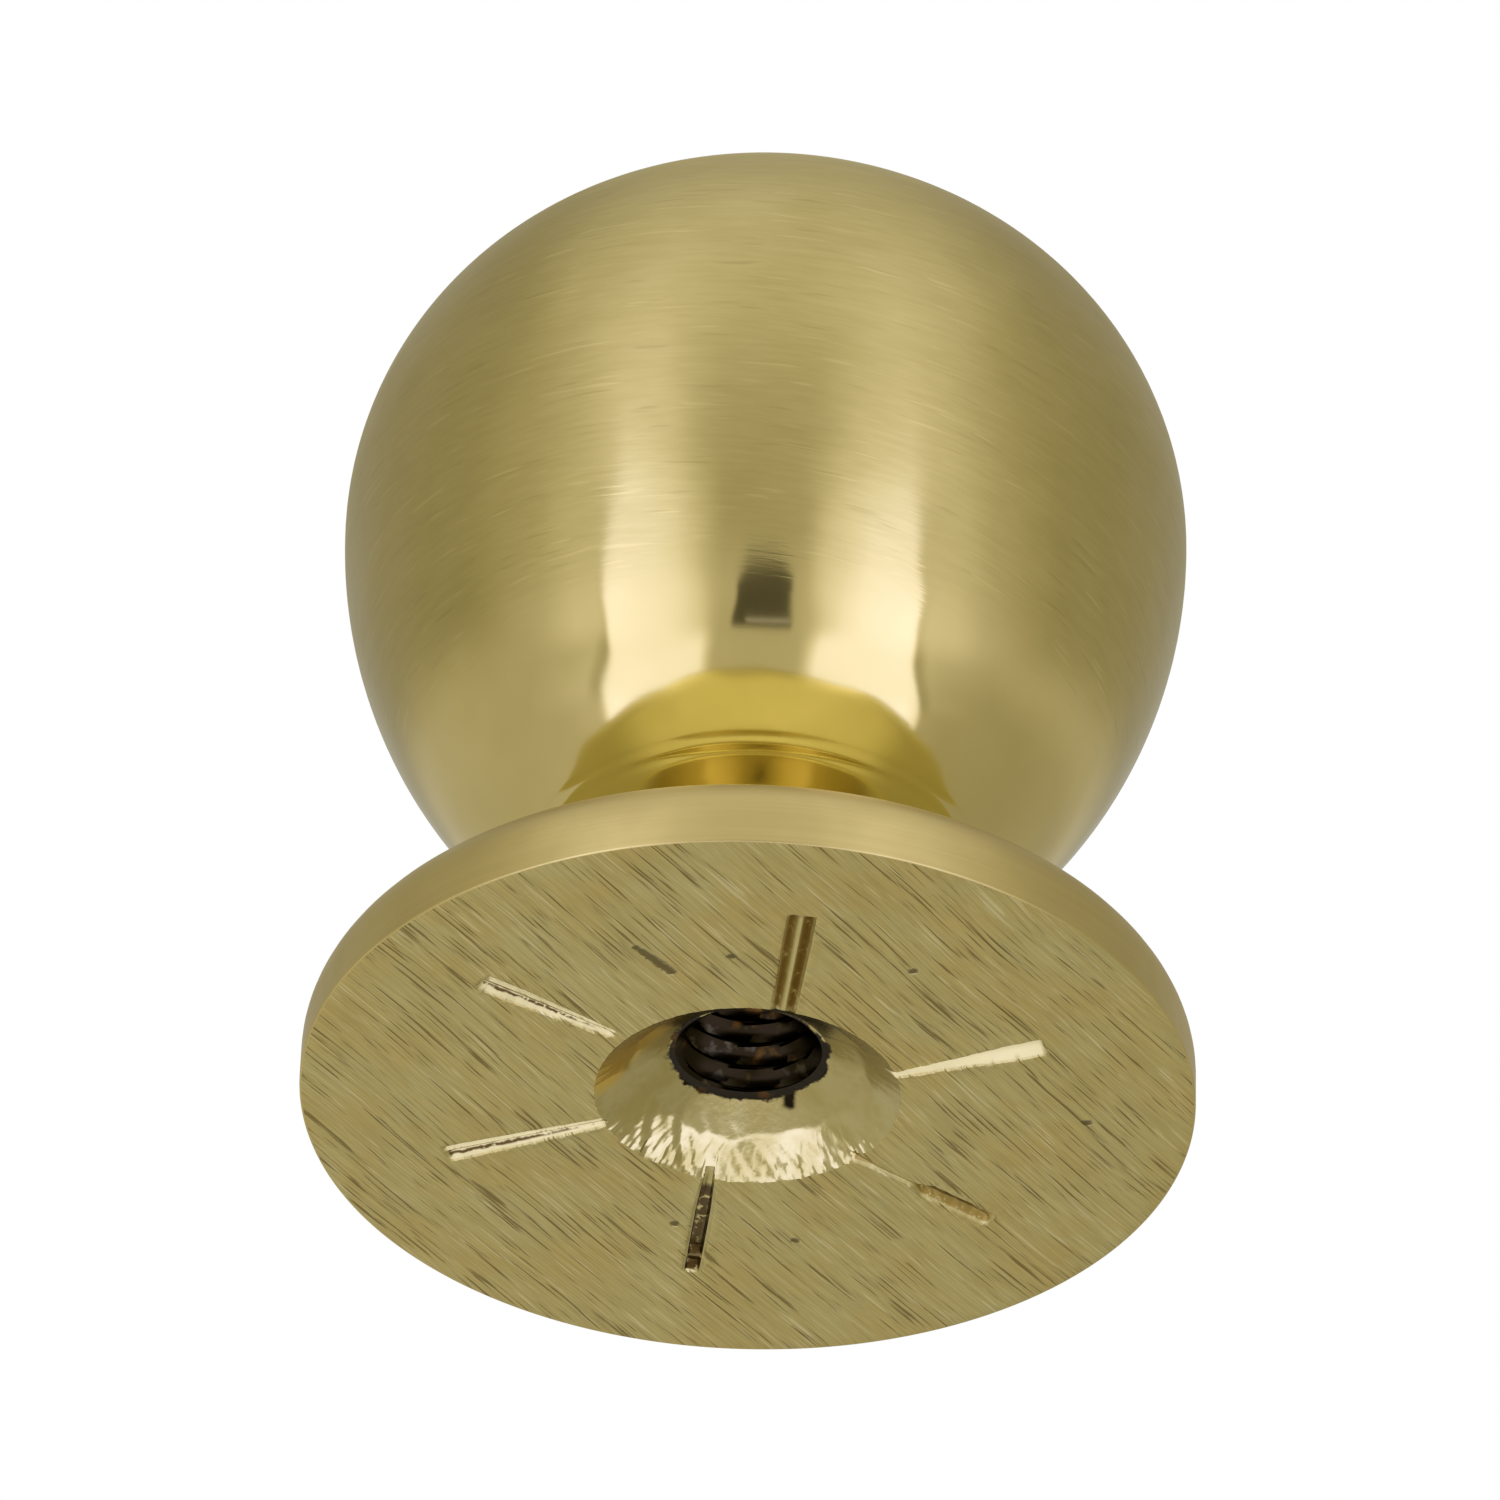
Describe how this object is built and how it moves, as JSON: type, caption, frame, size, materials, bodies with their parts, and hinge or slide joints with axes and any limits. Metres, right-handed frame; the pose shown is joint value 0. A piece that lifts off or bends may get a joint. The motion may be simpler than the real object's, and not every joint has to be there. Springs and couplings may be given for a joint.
{
  "type": "cabinet knob",
  "caption": "Turned solid brass ball knob on a round flange, with a blind threaded hole, countersink and radial grip cuts in its back face.",
  "frame": {"origin": "centre of the flat back face, the face that meets the door or drawer front", "axes": "+Z along the knob's axis, from the back face to the ball; +X along the first grip cut in the back face"},
  "size_m": [0.0222, 0.0222, 0.0269],
  "materials": {
    "brass": "satin brushed ball and flange edge, polished neck and flange front, coarse sanded back face"
  },
  "bodies": {
    "root": {"knob": "brass"}
  },
  "joints": []
}
